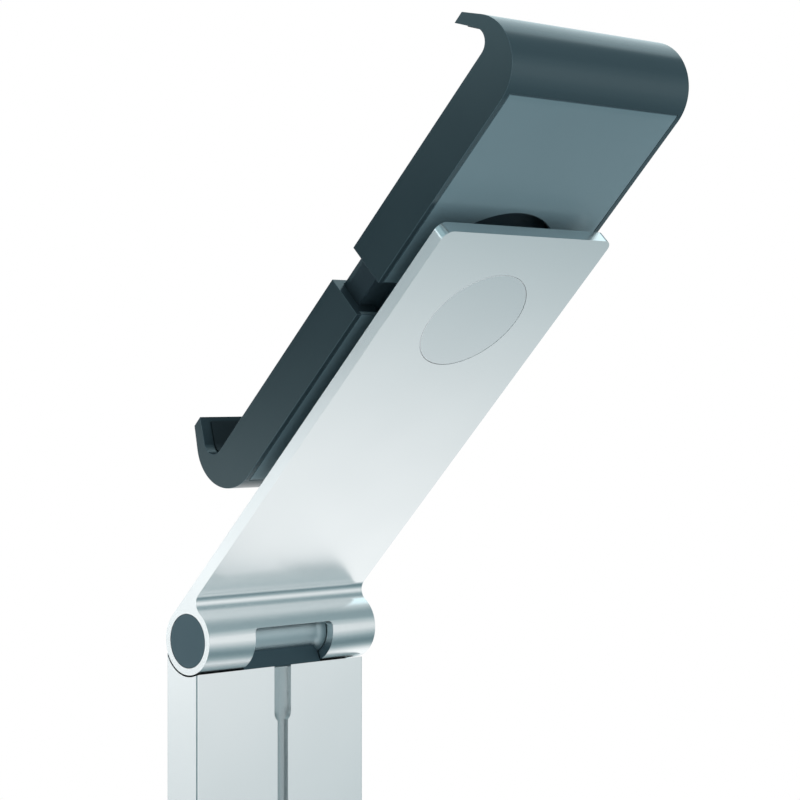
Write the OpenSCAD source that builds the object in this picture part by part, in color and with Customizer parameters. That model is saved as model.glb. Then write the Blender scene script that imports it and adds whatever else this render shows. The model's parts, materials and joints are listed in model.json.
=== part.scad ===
/* [Pose] */
// Tilt of the arm from upright, in degrees
tilt = 45; // [0:5:90]
// Half of the gap between the two jaws
jaw_gap_half = 6.6; // [0.4:0.2:28]

/* [Base] */
// Width of the base plate
base_w = 300; // [240:10:400]
// Depth of the base plate
base_d = 300; // [240:10:400]
// Thickness of the base plate
base_t = 8; // [7:0.5:12]
// Corner radius of the base plate
base_corner_r = 20; // [5:1:60]
// Chamfer round the top of the base plate
base_chamfer = 1; // [0.5:0.25:2]
// Radius of a foot
foot_r = 15; // [8:1:25]
// Height of a foot
foot_h = 4; // [2:0.5:8]
// Distance from the edges of the base plate to the middle of a foot
foot_inset = 28; // [26:1:60]

/* [Column] */
// Height of the hinge axis above the floor
hinge_z = 1000; // [600:10:1200]
// Width of the column and of the hinge barrel
column_w = 75; // [70:1:100]
// Depth of the column
column_d = 16; // [15:0.5:20]
// Distance from the hinge axis to the back of the column
column_back = 5; // [3:0.25:7]
// Wall thickness of the column
column_wall = 2; // [1.5:0.25:2.5]
// Corner radius of the column
column_corner_r = 0.8; // [0.3:0.1:1.5]
// Width of the cable channel
channel_w = 10; // [9:0.5:11]
// Depth of the cable channel
channel_d = 5.4; // [4.4:0.1:6]
// Width of the cable slot
slot_w = 4.7; // [4.2:0.1:6]
// Width of the slot's entry
entry_w = 7.5; // [6.5:0.25:8.5]
// Length of the slot's entry below the column's top edge
entry_l = 19.4; // [10:0.2:40]

/* [Tie rods] */
// Radius of a tie rod
rod_r = 3; // [2.5:0.25:3.5]
// Length of a tie rod inside the hinge block
rod_grip = 32; // [15:1:38]
// Height of a tie rod's nut
rod_nut_h = 3.2; // [2.5:0.1:3.6]
// Distance across the flats of a tie rod's nut
rod_nut_af = 10; // [9:0.5:11]
// Thickness of a tie rod's washer
rod_washer_t = 1.2; // [0.8:0.1:1.6]
// Radius of a tie rod's washer
rod_washer_r = 6.2; // [5.8:0.1:7]
// Web of the base plate above a tie rod's washer
rod_web = 3.4; // [2.6:0.1:3.6]

/* [Tilt hinge] */
// Outer radius of the barrel
barrel_r = 11.3; // [11:0.1:13]
// Gap between the barrel and the saddle on top of the column
barrel_gap = 0.6; // [0.2:0.05:0.8]
// Width of the window in the barrel
window_w = 35; // [34:0.5:36]
// Angle from the arm back to the upper edge of the window
window_top = 26.5; // [15:0.5:40]
// Corner radius of the window
window_corner_r = 1.7; // [0.5:0.1:3]
// Gap between the hinge block and each end of the window
block_gap = 0.3; // [0.15:0.05:0.6]
// Length of the hinge block's legs below the hinge axis
leg_l = 52; // [45:1:80]
// Radius of the middle of the shaft
shaft_r = 5.6; // [5.2:0.1:6.2]
// Radius of the shaft's shoulders
shoulder_r = 8; // [7.4:0.1:8.4]
// Radius of the shaft's journals
journal_r = 4; // [3.8:0.1:4.2]
// Outer radius of a hinge bush
bush_r = 5.5; // [5:0.1:6]
// Length of a hinge bush
bush_l = 5; // [3:0.5:5.5]
// Running clearance round a journal
journal_fit = 0.05; // [0.02:0.01:0.1]
// Thickness of a friction washer
friction_washer_t = 1; // [0.6:0.1:1.4]
// Thickness of a disc spring
disc_spring_t = 1.2; // [0.8:0.1:1.4]
// Height of a hinge nut
hinge_nut_h = 4; // [3:0.1:4.2]
// Distance across the flats of a hinge nut
hinge_nut_af = 13; // [12:0.25:13.25]
// Radius of the cavity for a hinge nut
nut_cavity_r = 8; // [7.8:0.1:8.5]
// Radius of an end cap
cap_r = 9; // [8.8:0.1:10]
// Thickness of an end cap
cap_t = 1.35; // [1:0.05:1.8]
// Distance of the stop screw from the middle of the barrel
stop_x = 25.5; // [25:0.25:26.5]
// Radius of the stop screw
stop_r = 1.5; // [1.2:0.1:1.7]
// Radius at which the stop screw's tip runs
stop_tip_r = 2.9; // [2.5:0.1:3.2]

/* [Arm] */
// Length of the arm from the hinge axis
arm_l = 176.5; // [165:0.5:260]
// Thickness of the arm's plate
arm_t = 4.2; // [4:0.1:6]
// Corner radius at the arm's free end
arm_corner_r = 3.5; // [1:0.5:10]
// Radius of the hollow between the plate and the barrel
root_r = 4; // [2:0.25:8]
// Distance from the hinge axis to the swivel axis
pivot_s = 141; // [125:0.5:220]

/* [Swivel] */
// Radius of the cover in the arm
cover_r = 19.3; // [17:0.1:24]
// Thickness of the cover in the arm
cover_t = 1; // [0.8:0.05:1.2]
// Radius of the retainer
retainer_r = 15; // [13:0.5:16]
// Thickness of the retainer
retainer_t = 1.5; // [1.3:0.05:1.6]
// Radius of the hub's neck
neck_r = 9.95; // [9:0.05:10.5]
// Running clearance round the hub's neck
neck_fit = 0.05; // [0.02:0.01:0.1]
// Radius of the hub's flange
hub_r = 27.5; // [26:0.5:28.5]
// Outer radius of the slip ring
slip_ring_r = 24; // [18:0.5:26]
// Thickness of the slip ring
slip_ring_t = 0.7; // [0.5:0.1:1.2]
// Distance between the arm and the backs of the jaws
arm_to_jaw = 4.3; // [3.5:0.1:8]

/* [Carrier] */
// Half of the width of the carrier
carrier_x = 36; // [34:0.5:37]
// Half of the length of the carrier
carrier_z = 60; // [50:1:61]
// Thickness of the carrier's floor
carrier_floor_t = 3; // [2.6:0.1:4]
// Thickness of the carrier's cover
carrier_cover_t = 1.5; // [1.4:0.1:2]
// Module of the pinion's teeth
tooth_module = 1.25; // [1.2:0.05:1.3]
// Number of the pinion's teeth, an even number
pinion_teeth = 20; // [20:2:20]
// Thickness of the pinion and of the racks
gear_t = 4.3; // [3.5:0.1:5]
// Play between the teeth
tooth_play = 0.3; // [0.2:0.05:0.4]
// Radius of the pin that the pinion turns on
pin_r = 4; // [3:0.1:6]
// Distance from a rack's roots to its back
rack_back_w = 6; // [4:0.5:8]
// Length of a rack beyond its jaw's inner end
rack_reach = 36.6; // [34:0.2:50]

/* [Jaws] */
// Half of the width of a jaw
jaw_x = 40; // [39:0.5:46]
// Distance from a jaw's inner end to its outer end
jaw_l = 86.4; // [84:0.1:120]
// Depth of a jaw from its back to the seat
jaw_d = 15.5; // [15.3:0.1:18]
// Radius of the hook's outside
hook_r = 15.1; // [13:0.1:16]
// Angle at which the hook's outside turns straight
hook_out_angle = 34; // [30:1:40]
// Radius of the hook's inner corner
hook_in_r = 4.5; // [3:0.1:6]
// Angle at which the hook's inside turns straight
hook_in_angle = 30; // [26:1:34]
// Thickness of the hook at its outer end
hook_t = 6; // [5:0.1:8]
// Distance from the seat to the tip of the hook
hook_reach = 14.6; // [11:0.05:18]
// Wall between the seat and the carrier
seat_wall = 1.5; // [1:0.1:2]
// Depth of the jaw's hollow, from its inner end
hollow_l = 60.6; // [55:0.1:62]
// Clearance between a jaw and the carrier
slide_gap = 0.2; // [0.1:0.05:0.3]
// Radius of the half-round cut-out in a jaw's back
cutout_r = 30.4; // [29:0.1:32]
// Width of the rim beside a jaw's back cover
rim_w = 1.8; // [1:0.1:3]
// Distance from the inner end of a jaw to the top of its back cover
back_cover_l = 73.8; // [71:0.1:75]
// Thickness of a jaw's back cover
back_cover_t = 1.4; // [1:0.1:1.6]
// Gap round a jaw's back cover
back_cover_gap = 0.15; // [0.1:0.05:0.3]
// Depth at which the grip liner is sunk into the hook
liner_sunk = 0.9; // [0.5:0.1:1.2]
// Height of the grip liner above the hook's inside
liner_proud = 0.4; // [0.2:0.1:0.8]
// Distance from the side of a jaw to the grip liner
liner_inset = 4; // [2:0.5:8]
// Distance from the hook's outer end to the foot of the liner
liner_l = 40; // [20:1:60]
// Distance of the lock screw from the middle of the jaw
lock_x = 31; // [30:0.5:33]
// Distance of the lock screw from the jaw's inner end
lock_z = 21; // [18:1:24]

/* [Screws] */
// Radius of the small screws' threads
small_screw_r = 1.5; // [1.2:0.1:1.6]
// Radius of the hub screws' and lock screw's threads
large_screw_r = 2; // [1.8:0.1:2.2]
// Clearance round a screw's thread
screw_fit = 0.05; // [0.02:0.01:0.1]
// Distance between flat faces that slide on each other
face_gap = 0.1; // [0.05:0.05:0.2]

/* [Hidden] */
$fn = 96;
cut = 1;
far = 60;

// Finishes
aluminium_color = [0.80, 0.83, 0.84];
steel_color = [0.62, 0.64, 0.66];
brass_color = [0.75, 0.62, 0.35];
jaw_color = [0.30, 0.36, 0.39];
back_cover_color = [0.38, 0.45, 0.48];
black_color = [0.13, 0.15, 0.16];
rubber_color = [0.08, 0.08, 0.08];

// Base and column
base_top = foot_h + base_t;
column_mid = column_back - column_d / 2;
column_front = column_back - column_d;
saddle_r = barrel_r + barrel_gap;
column_half = column_w / 2;
column_top_back = -sqrt(saddle_r * saddle_r - column_back * column_back);
column_top_front = -sqrt(saddle_r * saddle_r - column_front * column_front);
wall_x = channel_w / 2 + column_wall;
channel_floor = column_back - column_wall - channel_d;
chamber_d = column_d - 2 * column_wall;

// Tie rods
rod_seat = base_top - rod_web;
rod_low = rod_seat - rod_washer_t - rod_nut_h;
rod_high = hinge_z - leg_l + rod_grip;

// Hinge block and shaft
block_half = window_w / 2 - block_gap;
seat_gap = 0.05;
leg_gap = 0.2;
block_back_angle = atan2(column_top_back, column_back);
block_front_angle = atan2(column_top_front, column_front);
leg_in_x = wall_x + leg_gap;
rod_x = (leg_in_x + block_half) / 2;
flare_r = shoulder_r - shaft_r;
shaft_screw_x = 3.6;
small_head_r = 1.8 * small_screw_r;
shaft_screw_head_h = 2.6;
shaft_screw_in = 2;

// Barrel, from its middle to each end
washer_x = 29.5;
spring_x = washer_x + friction_washer_t + face_gap;
nut_x = spring_x + disc_spring_t;
nut_end_x = nut_x + hinge_nut_h;
journal_end_x = nut_end_x + 0.2;
cap_x = column_half - cap_t;
end_relief = 0.2;
bush_x = window_w / 2 + end_relief;
journal_bore_r = journal_r + 0.6;
washer_r = nut_cavity_r - 0.4;
window_open_r = shoulder_r + 0.3;
window_front_angle = block_front_angle - 3;
stop_play = 0.15;
tilt_max = 90;

// Arm
arm_front = -barrel_r;
arm_back = arm_front + arm_t;
root_z = sqrt(pow(barrel_r + root_r, 2) - pow(arm_back + root_r, 2));
cover_floor = arm_back - cover_t;
web_back = cover_floor - retainer_t - 2 * face_gap;

// Swivel, along the swivel axis from the arm to the seat in the jaws
hub_back = arm_front - slip_ring_t - face_gap;
jaw_back = arm_front - arm_to_jaw;
seat_y = jaw_back - jaw_d;
carrier_front = seat_y + seat_wall + slide_gap;
carrier_cover_back = carrier_front + carrier_cover_t;
gear_room = gear_t + 4 * face_gap;
carrier_inner = carrier_cover_back + gear_room;
carrier_back = carrier_inner + carrier_floor_t;
gear_back = carrier_inner - face_gap;
gear_front = gear_back - gear_t;
neck_end = web_back + face_gap;
retainer_screw_ring = 6;
hub_screw_xz = 15.5;
hub_screw_l = 9;
retainer_screw_l = 6.5;
bore_end = 0.3;
large_head_r = 1.9 * large_screw_r;
socket_h = 0.8;
cover_screw_x = carrier_x - 7;
cover_screw_z = carrier_z - 8;
cover_screw_l = 6;

// Rack and pinion, the rack from its jaw's inner end
pitch_r = tooth_module * pinion_teeth / 2;
tooth_pitch = PI * tooth_module;
tip_r = pitch_r + tooth_module;
root_gear_r = pitch_r - 1.25 * tooth_module;
pressure_angle = 20;
base_r = pitch_r * cos(pressure_angle);
rack_tip_x = pitch_r - tooth_module;
rack_root_x = pitch_r + 1.25 * tooth_module;
rack_back_x = rack_root_x + rack_back_w;
channel_in_x = rack_tip_x - 0.3;
channel_out_x = rack_back_x + 0.3;
pinion_room_r = tip_r + 0.6;
rack_teeth = floor(rack_reach / tooth_pitch);
tab_in_x = 12;
tab_out_x = 30;
tab_gap = 0.25;
tab_low_z = hollow_l + 0.3;
tab_high_z = tab_low_z + 9;
rack_screw_x = [16, 26];
rack_screw_z = (tab_low_z + tab_high_z) / 2;
rack_screw_end = gear_front + 0.6;

// Jaws, from their inner ends outwards
hollow_x = carrier_x + slide_gap;
hollow_back = carrier_back + slide_gap;
hollow_front = carrier_front - slide_gap;
hook_z = jaw_l - hook_r;
hook_y = jaw_back - hook_r;
hook_tip_y = seat_y - hook_reach;
hook_in_z = jaw_l - hook_t;
back_cover_x = jaw_x - rim_w;
back_cover_floor = jaw_back - back_cover_t;
liner_tip_gap = 1.5;

// Places

module at_hinge() translate([0, 0, hinge_z]) children();

module in_arm() at_hinge() rotate([-tilt, 0, 0]) children();

module in_clamp() in_arm() translate([0, 0, pivot_s]) children();

module in_upper_jaw() in_clamp() translate([0, 0, jaw_gap_half]) children();

module in_lower_jaw() in_clamp() rotate([0, 180, 0]) translate([0, 0, jaw_gap_half]) children();

module both_sides() {
    children();
    mirror([1, 0, 0]) children();
}

// Basic shapes

module rod_x(r, x0, x1) translate([x0, 0, 0]) rotate([0, 90, 0]) cylinder(r = r, h = x1 - x0);

module rod_y(r, y0, y1) translate([0, y0, 0]) rotate([-90, 0, 0]) cylinder(r = r, h = y1 - y0);

module box(low, high) translate(low) cube(high - low);

// Outline in the plane across the hinge axis, drawn out along that axis
module across(half) rotate([90, 0, 90]) translate([0, 0, -half]) linear_extrude(2 * half) children();

// Outline in the plane of the arm, drawn out along the swivel axis
module facing(y0, y1) translate([0, y1, 0]) rotate([90, 0, 0]) linear_extrude(y1 - y0) children();

module pie(r, from, to) {
    steps = 12;
    polygon(concat([[0, 0]], [for (i = [0:steps]) let (a = from + (to - from) * i / steps) r * [cos(a), sin(a)]]));
}

module rounded_plate(w, d, r) {
    square([w - 2 * r, d], center = true);
    square([w, d - 2 * r], center = true);
    for (x = [-1, 1], y = [-1, 1]) translate([x * (w / 2 - r), y * (d / 2 - r)]) circle(r);
}

module ring_x(r_out, r_in, x0, x1) difference() {
    rod_x(r_out, x0, x1);
    rod_x(r_in, x0 - cut, x1 + cut);
}

module ring_y(r_out, r_in, y0, y1) difference() {
    rod_y(r_out, y0, y1);
    rod_y(r_in, y0 - cut, y1 + cut);
}

// Countersunk screw along the swivel axis, its head at y and its point towards +y (dir 1) or -y (dir -1)
module csk_screw(r, head_r, y, l, dir) {
    translate([0, y, 0]) rotate([dir * -90, 0, 0]) difference() {
        union() {
            cylinder(r = r, h = l);
            cylinder(r1 = head_r, r2 = r, h = head_r - r);
        }
        translate([0, 0, -cut]) cylinder(r = 0.7 * r, h = cut + socket_h, $fn = 6);
    }
}

module csk_hole(r, head_r, y, l, dir) {
    translate([0, y, 0]) rotate([dir * -90, 0, 0]) {
        cylinder(r = r + screw_fit, h = l + screw_fit);
        cylinder(r1 = head_r + screw_fit, r2 = r + screw_fit, h = head_r - r);
        translate([0, 0, -cut]) cylinder(r = head_r + screw_fit, h = cut);
    }
}

// Base

module at_feet() for (x = [-1, 1], y = [-1, 1])
    translate([x * (base_w / 2 - foot_inset), y * (base_d / 2 - foot_inset), 0]) children();

module at_rods() for (x = [-1, 1]) translate([x * rod_x, column_mid, 0]) children();

module trapezium(w) polygon([
    [-w / 2, 0], [w / 2, 0], [w / 2 - base_chamfer, base_chamfer], [base_chamfer - w / 2, base_chamfer]
]);

module base_rim() {
    straight_w = base_w - 2 * base_corner_r;
    straight_d = base_d - 2 * base_corner_r;
    rotate([90, 0, 0]) linear_extrude(straight_d, center = true) trapezium(base_w);
    rotate([90, 0, 90]) linear_extrude(straight_w, center = true) trapezium(base_d);
    for (x = [-1, 1], y = [-1, 1]) translate([x * straight_w / 2, y * straight_d / 2, 0])
        cylinder(r1 = base_corner_r, r2 = base_corner_r - base_chamfer, h = base_chamfer);
}

module base_plate() color(aluminium_color) difference() {
    union() {
        translate([0, 0, foot_h]) linear_extrude(base_t - base_chamfer)
            rounded_plate(base_w, base_d, base_corner_r);
        translate([0, 0, base_top - base_chamfer]) base_rim();
    }
    at_rods() {
        translate([0, 0, foot_h - cut]) cylinder(r = rod_r + 0.3, h = base_t + 2 * cut);
        translate([0, 0, foot_h - cut]) cylinder(r = rod_washer_r + 0.3, h = rod_seat - foot_h + cut);
    }
}

module base_feet() color(rubber_color) at_feet() cylinder(r = foot_r, h = foot_h);

// Column

module column_outline() difference() {
    translate([0, column_mid]) rounded_plate(column_w, column_d, column_corner_r);
    translate([-channel_w / 2, channel_floor]) square([channel_w, channel_d]);
    translate([-channel_w / 2, column_front + column_wall])
        square([channel_w, chamber_d - channel_d - column_wall]);
    translate([-slot_w / 2, channel_floor + channel_d / 2]) square([slot_w, column_d]);
    for (side = [0, 1]) mirror([side, 0]) translate([wall_x, column_front + column_wall])
        square([column_half - column_wall - wall_x, chamber_d]);
}

module column() color(aluminium_color) difference() {
    translate([0, 0, base_top]) linear_extrude(hinge_z - base_top) column_outline();
    at_hinge() rod_x(saddle_r, -column_half - cut, column_half + cut);
    at_hinge() translate([0, column_back, column_top_back]) {
        box([-entry_w / 2, -column_wall - cut, entry_w / 2 - entry_l], [entry_w / 2, cut, far]);
        translate([0, 0, entry_w / 2 - entry_l]) rod_y(entry_w / 2, -column_wall - cut, cut);
    }
    at_hinge() box([-column_half - cut, -column_d - cut, 0], [column_half + cut, column_d, far]);
}

module tie_rods() color(steel_color) at_rods()
    translate([0, 0, rod_low]) cylinder(r = rod_r, h = rod_high - rod_low);

module tie_rod_washers() color(steel_color) at_rods() translate([0, 0, rod_seat - rod_washer_t])
    difference() {
        cylinder(r = rod_washer_r, h = rod_washer_t);
        translate([0, 0, -cut]) cylinder(r = rod_r + 0.2, h = rod_washer_t + 2 * cut);
    }

module tie_rod_nuts() color(steel_color) at_rods() translate([0, 0, rod_seat - rod_washer_t - rod_nut_h])
    difference() {
        cylinder(r = rod_nut_af / sqrt(3), h = rod_nut_h, $fn = 6);
        translate([0, 0, -cut]) cylinder(r = rod_r + screw_fit, h = rod_nut_h + 2 * cut);
    }

// Tilt hinge

module shaft_body(grow) {
    rod_x(shaft_r + grow, -block_half - grow, block_half + grow);
    both_sides() rotate([0, 90, 0]) rotate_extrude() difference() {
        translate([0, block_half - flare_r]) square([shoulder_r + grow, flare_r + grow]);
        translate([shoulder_r, block_half - flare_r]) circle(flare_r - grow);
    }
}

module hinge_block() color(black_color) at_hinge() difference() {
    union() {
        across(block_half) intersection() {
            circle(saddle_r - seat_gap);
            pie(far, block_front_angle, block_back_angle);
        }
        both_sides() box(
            [leg_in_x, column_front + column_wall + leg_gap, -leg_l],
            [block_half, column_back - column_wall - leg_gap, -shoulder_r]
        );
    }
    shaft_body(seat_gap);
    translate([0, column_mid, -leg_l - cut]) both_sides()
        translate([rod_x, 0, 0]) cylinder(r = rod_r + screw_fit, h = rod_grip + cut + 0.5);
    for (x = [-1, 1]) translate([x * shaft_screw_x, 0, 0]) rotate([180, 0, 0]) {
        cylinder(r = small_screw_r + screw_fit, h = saddle_r);
        translate([0, 0, saddle_r - shaft_screw_head_h - 0.4]) cylinder(r = small_head_r + screw_fit, h = far);
    }
}

module hinge_shaft() color(steel_color) at_hinge() difference() {
    union() {
        shaft_body(0);
        rod_x(journal_r, -journal_end_x, journal_end_x);
    }
    for (x = [-1, 1]) translate([x * shaft_screw_x, 0, 0]) rotate([180, 0, 0])
        translate([0, 0, shaft_screw_in]) cylinder(r = small_screw_r + screw_fit, h = far);
    stop_groove();
}

// Groove in the shaft in which the stop screw's tip travels from upright to flat
module stop_groove() translate([-stop_x, 0, 0]) {
    half = stop_r + stop_play;
    for (a = [0, tilt_max]) rotate([-a, 0, 0]) rotate([180, 0, 0])
        translate([0, 0, stop_tip_r - stop_play]) cylinder(r = half, h = far);
    across(half) difference() {
        pie(far, -90 - tilt_max, -90);
        circle(stop_tip_r - stop_play);
    }
}

module shaft_screws() color(steel_color) at_hinge() for (x = [-1, 1])
    translate([x * shaft_screw_x, 0, 0]) rotate([180, 0, 0]) {
        head_z = saddle_r - shaft_screw_head_h - 0.4;
        translate([0, 0, shaft_screw_in + 0.2]) cylinder(r = small_screw_r, h = head_z - shaft_screw_in);
        translate([0, 0, head_z]) cylinder(r = small_head_r, h = shaft_screw_head_h);
    }

module disc_springs() color(steel_color) at_hinge() both_sides()
    ring_x(washer_r, journal_r + 0.1, spring_x, spring_x + disc_spring_t);

module hinge_nuts() color(steel_color) at_hinge() both_sides() difference() {
    translate([nut_x, 0, 0]) rotate([0, 90, 0])
        cylinder(r = hinge_nut_af / sqrt(3), h = hinge_nut_h, $fn = 6);
    rod_x(journal_r + screw_fit, nut_x - cut, nut_end_x + cut);
}

// Arm

module arm_outline() {
    circle(barrel_r);
    translate([arm_front, 0]) square([arm_t, arm_l]);
    difference() {
        polygon([[0, 0], [arm_back + root_r, root_z], [arm_back - cut, root_z], [arm_back - cut, 0]]);
        translate([arm_back + root_r, root_z]) circle(root_r);
    }
}

module arm_face() {
    translate([-column_half, -barrel_r - cut]) square([column_w, barrel_r + cut + arm_l - arm_corner_r]);
    translate([arm_corner_r - column_half, 0]) square([column_w - 2 * arm_corner_r, arm_l]);
    for (side = [-1, 1]) translate([side * (column_half - arm_corner_r), arm_l - arm_corner_r])
        circle(arm_corner_r);
}

// Opening in the barrel through which the hinge block holds the shaft
module window() {
    half = window_w / 2;
    corner_x = half - window_corner_r;
    top = 90 - window_top - asin(window_corner_r / barrel_r);
    steps = 12;
    corner = [for (i = [0:steps]) let (a = 90 * i / steps) window_corner_r * [cos(a), sin(a)]];
    rotate([top, 0, 0]) {
        across(half) pie(far, window_front_angle - top, 0);
        facing(0, far) polygon(concat(
            [for (p = corner) [corner_x + p[0], p[1]]],
            [for (i = [steps:-1:0]) [-corner_x - corner[i][0], corner[i][1]]]
        ));
    }
    rod_x(window_open_r, -bush_x, bush_x);
}

module arm_bores() both_sides() {
    rod_x(bush_r + screw_fit, bush_x - cut, bush_x + bush_l);
    rod_x(journal_bore_r, bush_x, washer_x + cut);
    rod_x(nut_cavity_r, washer_x, column_half);
    rod_x(cap_r + screw_fit, cap_x, column_half + cut);
}

module arm() color(aluminium_color) in_arm() difference() {
    intersection() {
        across(column_half) arm_outline();
        facing(-far, far) arm_face();
    }
    window();
    arm_bores();
    translate([-stop_x, 0, 0]) rotate([180, 0, 0]) cylinder(r = stop_r + screw_fit, h = far);
    translate([0, 0, pivot_s]) {
        rod_y(cover_r + face_gap, cover_floor, arm_back + cut);
        rod_y(retainer_r + 0.3, web_back, arm_back + cut);
        rod_y(neck_r + neck_fit, arm_front - cut, arm_back + cut);
    }
}

module hinge_bushes() color(brass_color) in_arm() both_sides()
    ring_x(bush_r, journal_r + journal_fit, bush_x, bush_x + bush_l);

module friction_washers() color(brass_color) in_arm() both_sides()
    ring_x(washer_r, journal_r + 0.1, washer_x, washer_x + friction_washer_t);

module end_cap() color(jaw_color) in_arm() rod_x(cap_r, cap_x, column_half);

module end_cap_left() end_cap();

module end_cap_right() mirror([1, 0, 0]) end_cap();

module tilt_stop_screw() color(steel_color) in_arm() translate([-stop_x, 0, 0]) rotate([180, 0, 0])
    difference() {
        translate([0, 0, stop_tip_r]) cylinder(r = stop_r, h = barrel_r - stop_tip_r - 0.5);
        translate([0, 0, barrel_r - 1.5]) cylinder(r = stop_r / 2, h = far, $fn = 6);
    }

module arm_cover() color(aluminium_color) in_clamp() rod_y(cover_r, cover_floor, arm_back);

// Swivel

module at_retainer_screws() for (a = [0:120:240]) rotate([0, a, 0])
    translate([0, 0, retainer_screw_ring]) children();

module at_hub_screws() for (x = [-1, 1], z = [-1, 1])
    translate([x * hub_screw_xz, 0, z * hub_screw_xz]) children();

module retainer_screw_hole()
    csk_hole(small_screw_r, small_head_r, neck_end + retainer_t, retainer_screw_l, -1);

module hub_screw_hole() csk_hole(large_screw_r, large_head_r, carrier_inner, hub_screw_l, 1);

module swivel_hub() color(black_color) in_clamp() difference() {
    union() {
        rod_y(hub_r, carrier_back, hub_back);
        rod_y(neck_r, hub_back - cut, neck_end);
    }
    at_retainer_screws() retainer_screw_hole();
    at_hub_screws() hub_screw_hole();
}

module slip_ring() color(rubber_color) in_clamp()
    ring_y(slip_ring_r, neck_r + 0.3, hub_back, hub_back + slip_ring_t);

module swivel_retainer() color(steel_color) in_clamp() difference() {
    rod_y(retainer_r, neck_end, neck_end + retainer_t);
    at_retainer_screws() retainer_screw_hole();
}

module retainer_screws() color(steel_color) in_clamp() at_retainer_screws()
    csk_screw(small_screw_r, small_head_r, neck_end + retainer_t, retainer_screw_l - bore_end, -1);

module hub_screws() color(steel_color) in_clamp() at_hub_screws()
    csk_screw(large_screw_r, large_head_r, carrier_inner, hub_screw_l - bore_end, 1);

// Carrier

module at_cover_screws() for (x = [-1, 1], z = [-1, 0, 1])
    translate([x * cover_screw_x, 0, z * cover_screw_z]) children();

module carrier() color(black_color) in_clamp() difference() {
    box([-carrier_x, carrier_cover_back, -carrier_z], [carrier_x, carrier_back, carrier_z]);
    both_sides() box(
        [channel_in_x, carrier_cover_back - cut, -carrier_z - cut],
        [channel_out_x, carrier_inner, carrier_z + cut]
    );
    rod_y(pinion_room_r, carrier_cover_back - cut, carrier_inner);
    rod_y(large_screw_r + screw_fit, carrier_inner - cut, carrier_back + cut);
    at_hub_screws() hub_screw_hole();
    at_cover_screws() csk_hole(small_screw_r, small_head_r, carrier_front, cover_screw_l, 1);
}

module pinion_pin() color(steel_color) in_clamp() {
    rod_y(pin_r, gear_front - face_gap, carrier_inner);
    rod_y(large_screw_r, carrier_inner - cut, carrier_back - 0.2);
}

module carrier_cover() color(black_color) in_clamp() difference() {
    box([-carrier_x, carrier_front, -carrier_z], [carrier_x, carrier_cover_back, carrier_z]);
    at_cover_screws() csk_hole(small_screw_r, small_head_r, carrier_front, cover_screw_l, 1);
}

module cover_screws() color(steel_color) in_clamp() at_cover_screws()
    csk_screw(small_screw_r, small_head_r, carrier_front, cover_screw_l - bore_end, 1);

// Pinion and racks

// Angle turned by the involute's radius, in degrees
function involute(r) = let (a = acos(base_r / r)) tan(a) * 180 / PI - a;

// Half of a pinion tooth's angle at radius r
function tooth_half(r) = 90 / pinion_teeth - tooth_play / 2 / pitch_r * 180 / PI
    + involute(pitch_r) - involute(max(r, base_r));

module pinion_outline() {
    steps = 4;
    low = max(base_r, root_gear_r);
    radii = concat([root_gear_r - 0.01], [for (i = [0:steps]) low + (tip_r - low) * i / steps]);
    count = len(radii);
    polygon([for (t = [0:pinion_teeth - 1]) each concat(
        [for (r = radii) let (a = t * 360 / pinion_teeth - tooth_half(r)) r * [cos(a), sin(a)]],
        [for (i = [count - 1:-1:0]) let (r = radii[i], a = t * 360 / pinion_teeth + tooth_half(r))
            r * [cos(a), sin(a)]]
    )]);
}

// The pinion has turned with the racks since the jaws touched
module pinion() color(rubber_color) in_clamp() rotate([0, -jaw_gap_half / pitch_r * 180 / PI, 0]) difference() {
    facing(gear_front, gear_back) pinion_outline();
    rod_y(pin_r + journal_fit, gear_front - cut, gear_back + cut);
}

// A space between two teeth lies level with the jaw's inner end
module rack_outline() {
    slope = tan(pressure_angle);
    half = tooth_pitch / 4 - tooth_play / 2;
    wide = half + slope * (rack_root_x - pitch_r);
    narrow = half - slope * (pitch_r - rack_tip_x);
    translate([rack_root_x, -rack_reach]) square([rack_back_w, tab_low_z + cut + rack_reach]);
    translate([tab_in_x, tab_low_z]) square([tab_out_x - tab_in_x, tab_high_z - tab_low_z]);
    for (i = [-rack_teeth:1]) translate([0, (i + 0.5) * tooth_pitch])
        polygon([
            [rack_root_x + cut, -wide], [rack_root_x + cut, wide], [rack_root_x, wide],
            [rack_tip_x, narrow], [rack_tip_x, -narrow], [rack_root_x, -wide]
        ]);
}

module at_rack_screws() for (x = rack_screw_x) translate([x, 0, rack_screw_z]) children();

module rack_screw_hole()
    csk_hole(small_screw_r, small_head_r, back_cover_floor, back_cover_floor - rack_screw_end, -1);

module rack() color(rubber_color) difference() {
    facing(gear_front, gear_back) rack_outline();
    at_rack_screws() rack_screw_hole();
}

module rack_screws() color(steel_color) at_rack_screws()
    csk_screw(small_screw_r, small_head_r, back_cover_floor, back_cover_floor - rack_screw_end - bore_end, -1);

// Jaws, drawn for the upper one

// Room for a device's edge inside the hook, made larger by grow
module hook_room(grow) {
    r = hook_in_r + grow;
    y = seat_y - hook_in_r;
    z = hook_in_z - hook_in_r;
    turn = [y - r * sin(hook_in_angle), z + r * cos(hook_in_angle)];
    tip = far * [-cos(hook_in_angle), -sin(hook_in_angle)];
    translate([y, z]) circle(r);
    polygon([[seat_y + grow, -far], [seat_y + grow, z], [y, z], turn, turn + tip, [seat_y - far, -far]]);
}

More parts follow.
